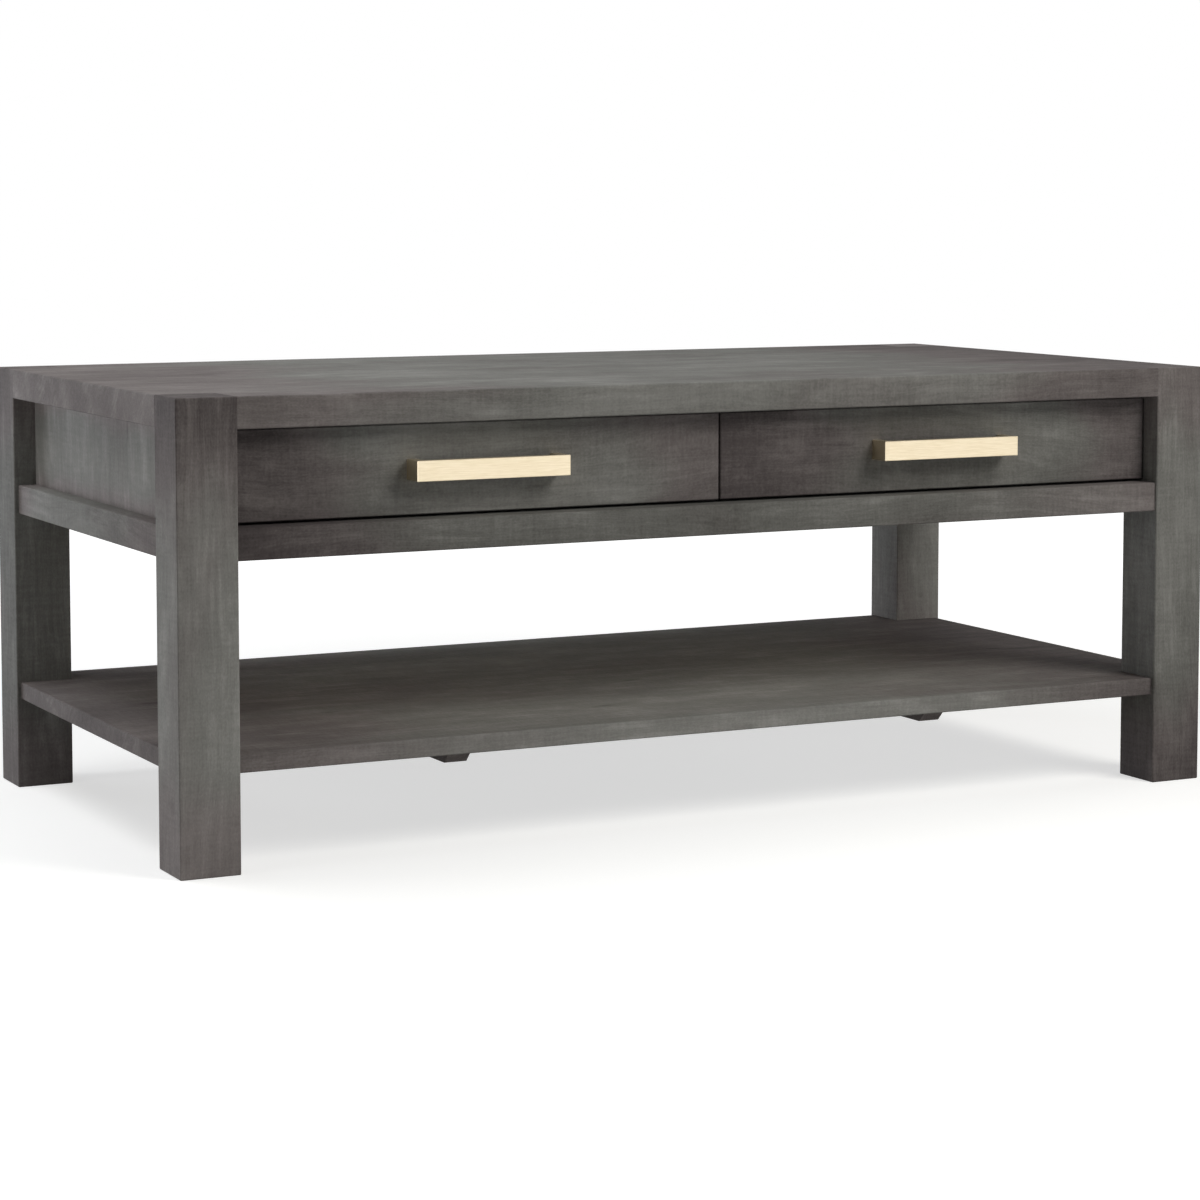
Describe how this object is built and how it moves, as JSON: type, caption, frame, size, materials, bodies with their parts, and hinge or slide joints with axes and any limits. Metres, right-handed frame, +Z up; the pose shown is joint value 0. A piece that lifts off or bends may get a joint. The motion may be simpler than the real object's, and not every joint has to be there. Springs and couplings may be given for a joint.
{
  "type": "coffee table with drawers",
  "caption": "Low rectangular table in grey-stained hardwood with square legs, side-by-side drawers on telescopic slides with brass bar pulls, and an open lower shelf.",
  "frame": {"origin": "on the floor under the middle of the table", "axes": "+X along the table to the right of someone facing the drawers, +Y to the back, +Z up; the drawers open towards -Y"},
  "size_m": [1.219, 0.612, 0.47],
  "materials": {
    "grey_stained_wood": "satin grey stain",
    "clear_maple": "clear satin lacquer",
    "birch_plywood": "clear satin lacquer",
    "satin_brass": "brushed satin",
    "zinc_plated_steel": "bright zinc plate"
  },
  "bodies": {
    "table": {"back_panel": "grey_stained_wood", "back_rail": "grey_stained_wood", "batten_screws": "zinc_plated_steel", "centre_divider": "grey_stained_wood", "cross_rail": "grey_stained_wood", "dust_panel_left": "birch_plywood", "dust_panel_right": "birch_plywood", "front_rail": "grey_stained_wood", "left_case_member_divider_side": "zinc_plated_steel", "left_case_member_leg_side": "zinc_plated_steel", "leg_back_left": "grey_stained_wood", "leg_back_right": "grey_stained_wood", "leg_front_left": "grey_stained_wood", "leg_front_right": "grey_stained_wood", "lower_shelf": "grey_stained_wood", "right_case_member_divider_side": "zinc_plated_steel", "right_case_member_leg_side": "zinc_plated_steel", "shelf_batten_left": "grey_stained_wood", "shelf_batten_right": "grey_stained_wood", "shelf_tenons": "clear_maple", "side_panel_left": "grey_stained_wood", "side_panel_right": "grey_stained_wood", "side_rail_left": "grey_stained_wood", "side_rail_right": "grey_stained_wood", "slide_packer_left": "clear_maple", "slide_packer_right": "clear_maple", "top_panel": "grey_stained_wood", "top_tenons": "clear_maple"},
    "drawer_left": {"left_drawer_bottom": "birch_plywood", "left_drawer_box_back": "clear_maple", "left_drawer_box_front": "clear_maple", "left_drawer_front": "grey_stained_wood", "left_drawer_member_divider_side": "zinc_plated_steel", "left_drawer_member_leg_side": "zinc_plated_steel", "left_drawer_pull": "satin_brass", "left_drawer_side_divider_side": "clear_maple", "left_drawer_side_leg_side": "clear_maple", "left_front_screws": "zinc_plated_steel", "left_pull_screws": "zinc_plated_steel"},
    "slide_middle_left": {"left_middle_member_divider_side": "zinc_plated_steel", "left_middle_member_leg_side": "zinc_plated_steel", "left_slide_balls": "zinc_plated_steel"},
    "drawer_right": {"right_drawer_bottom": "birch_plywood", "right_drawer_box_back": "clear_maple", "right_drawer_box_front": "clear_maple", "right_drawer_front": "grey_stained_wood", "right_drawer_member_divider_side": "zinc_plated_steel", "right_drawer_member_leg_side": "zinc_plated_steel", "right_drawer_pull": "satin_brass", "right_drawer_side_divider_side": "clear_maple", "right_drawer_side_leg_side": "clear_maple", "right_front_screws": "zinc_plated_steel", "right_pull_screws": "zinc_plated_steel"},
    "slide_middle_right": {"right_middle_member_divider_side": "zinc_plated_steel", "right_middle_member_leg_side": "zinc_plated_steel", "right_slide_balls": "zinc_plated_steel"}
  },
  "joints": [
    {"name": "left_drawer_slide", "type": "slide", "parent": "table", "child": "drawer_left", "axis": [0, -1, 0], "range_m": [0, 0.45]},
    {"name": "left_middle_slide", "type": "slide", "parent": "table", "child": "slide_middle_left", "axis": [0, -1, 0], "range_m": [0, 0.225]},
    {"name": "right_drawer_slide", "type": "slide", "parent": "table", "child": "drawer_right", "axis": [0, -1, 0], "range_m": [0, 0.45]},
    {"name": "right_middle_slide", "type": "slide", "parent": "table", "child": "slide_middle_right", "axis": [0, -1, 0], "range_m": [0, 0.225]}
  ],
  "couplings": [
    {"joint": "left_middle_slide", "follows": "left_drawer_slide", "ratio": 0.5},
    {"joint": "right_middle_slide", "follows": "right_drawer_slide", "ratio": 0.5}
  ]
}
